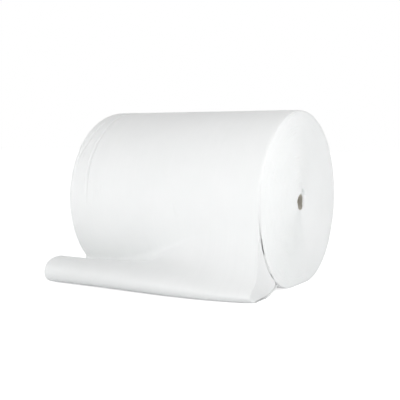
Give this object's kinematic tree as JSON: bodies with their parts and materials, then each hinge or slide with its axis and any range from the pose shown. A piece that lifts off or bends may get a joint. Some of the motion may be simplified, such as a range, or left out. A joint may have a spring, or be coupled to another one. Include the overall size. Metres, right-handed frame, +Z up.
{
  "type": "foam wrap roll",
  "caption": "Big roll of white polyethylene foam wrap lying on its side, wound on a paper core tube, its loose end turned under in a loop in front.",
  "frame": {"origin": "on the floor, on the flat spot under the middle of the core", "axes": "+X along the core towards the end where the loose end's loop is deep, -Y towards the loose end's nose, +Z up"},
  "size_m": [1.2, 1.228, 0.943],
  "materials": {
    "foam": "white closed-cell polyethylene foam, soft and matt with a faint sheen",
    "core_board": "spirally wound brown paper board"
  },
  "bodies": {
    "root": {"foam_web": "foam", "core_tube": "core_board"}
  },
  "joints": []
}
